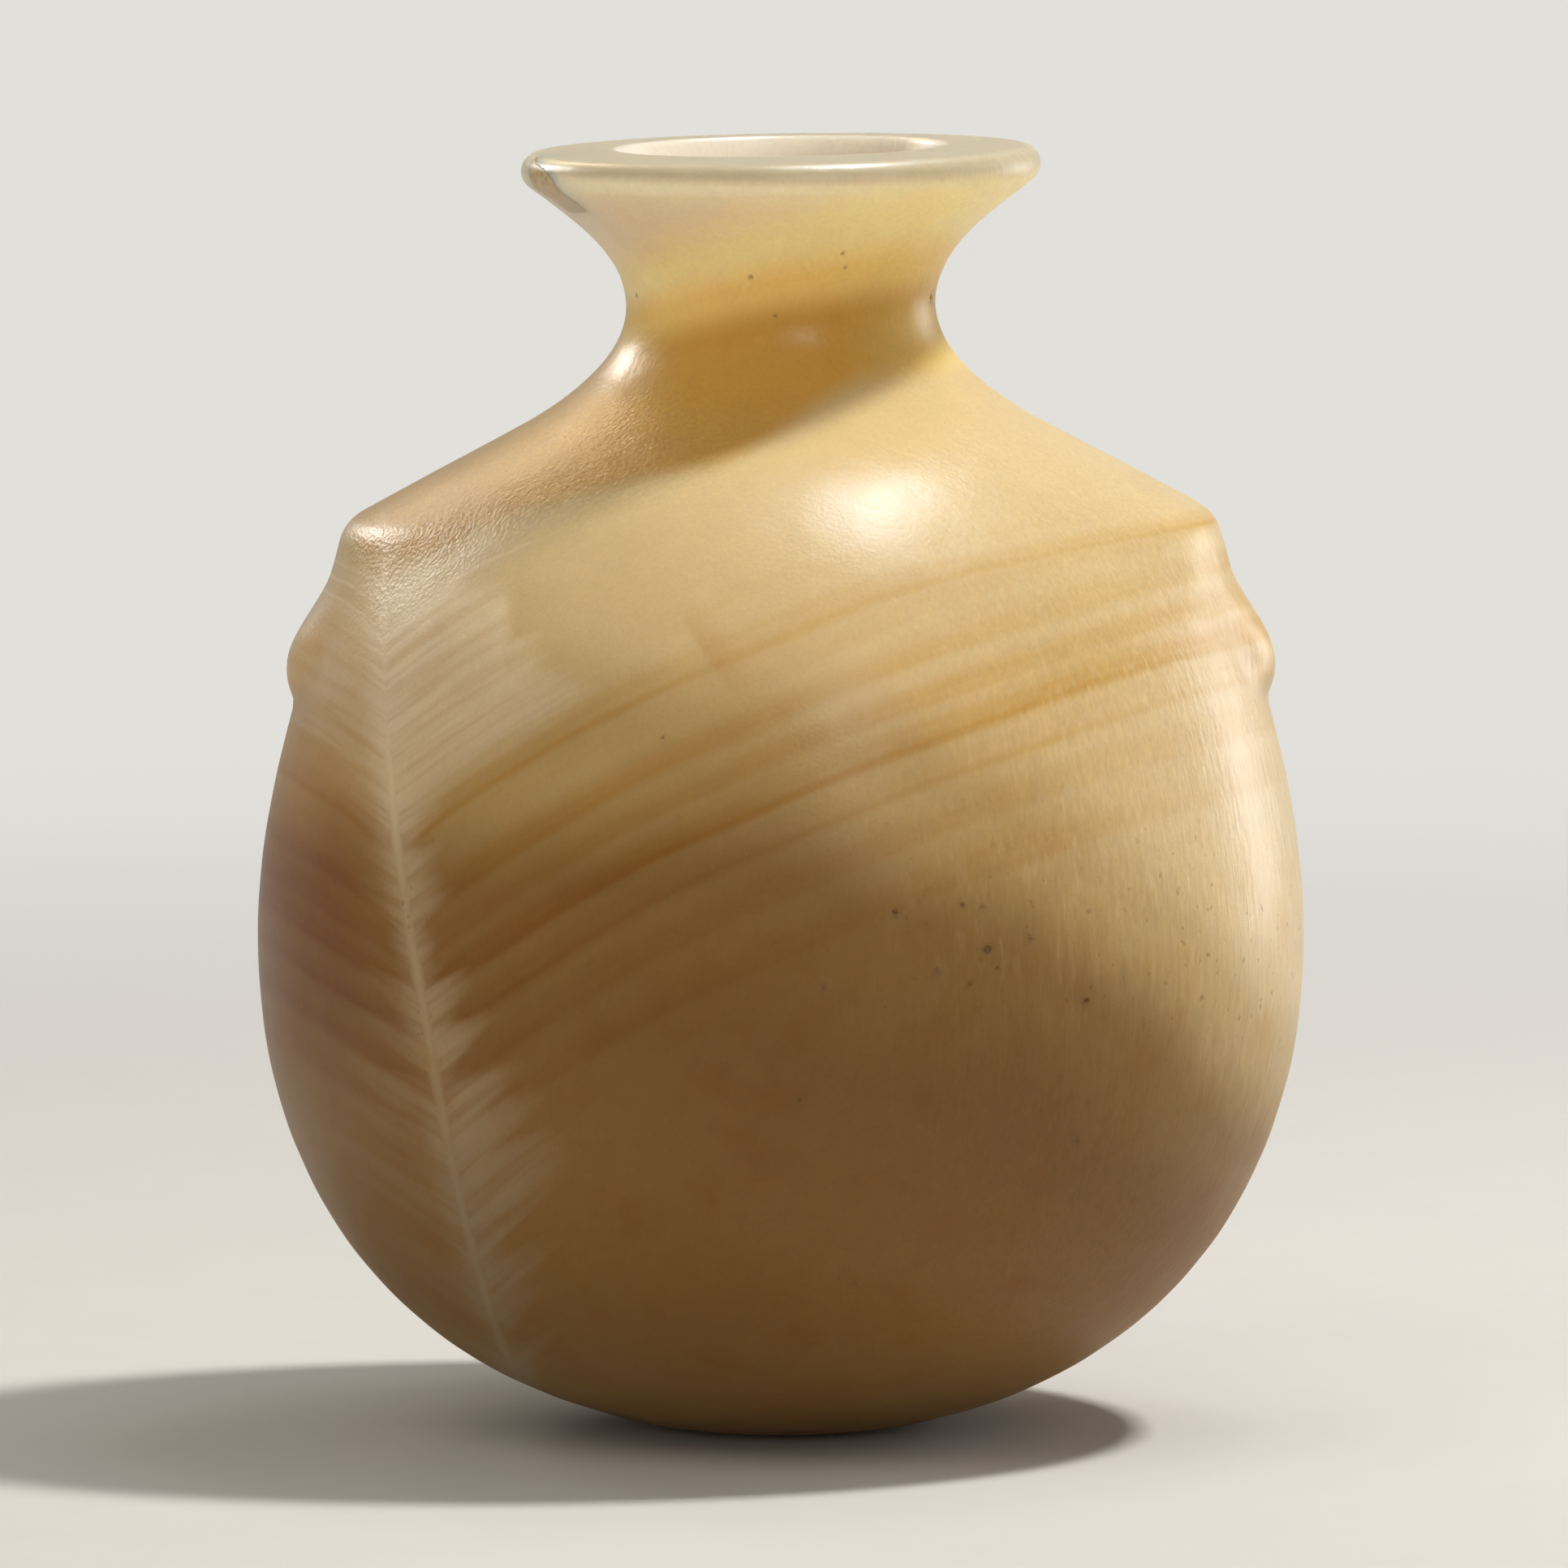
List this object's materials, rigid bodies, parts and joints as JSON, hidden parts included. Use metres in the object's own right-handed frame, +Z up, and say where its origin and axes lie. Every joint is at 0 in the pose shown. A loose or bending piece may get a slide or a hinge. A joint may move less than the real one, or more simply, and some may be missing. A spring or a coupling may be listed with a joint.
{
  "type": "stone vase",
  "caption": "Round-bellied stone vase with a narrow neck, a wide flaring lip and two low lugs under the shoulder, hollowed inside, with a mended flake in the lip.",
  "frame": {"origin": "centre of the flat foot, on the surface that the vase stands on", "axes": "+Z up along the axis of the turned form, from the foot to the mouth; the lugs are at -X and +X; the front that shows the pale vein faces -Y"},
  "size_m": [0.1302, 0.1298, 0.1601],
  "materials": {
    "stone": "polished, banded and slightly translucent",
    "flake_stone": "polished, a little duller than the rest"
  },
  "bodies": {
    "root": {"vase_body": "stone", "rim_flake": "flake_stone"}
  },
  "joints": []
}
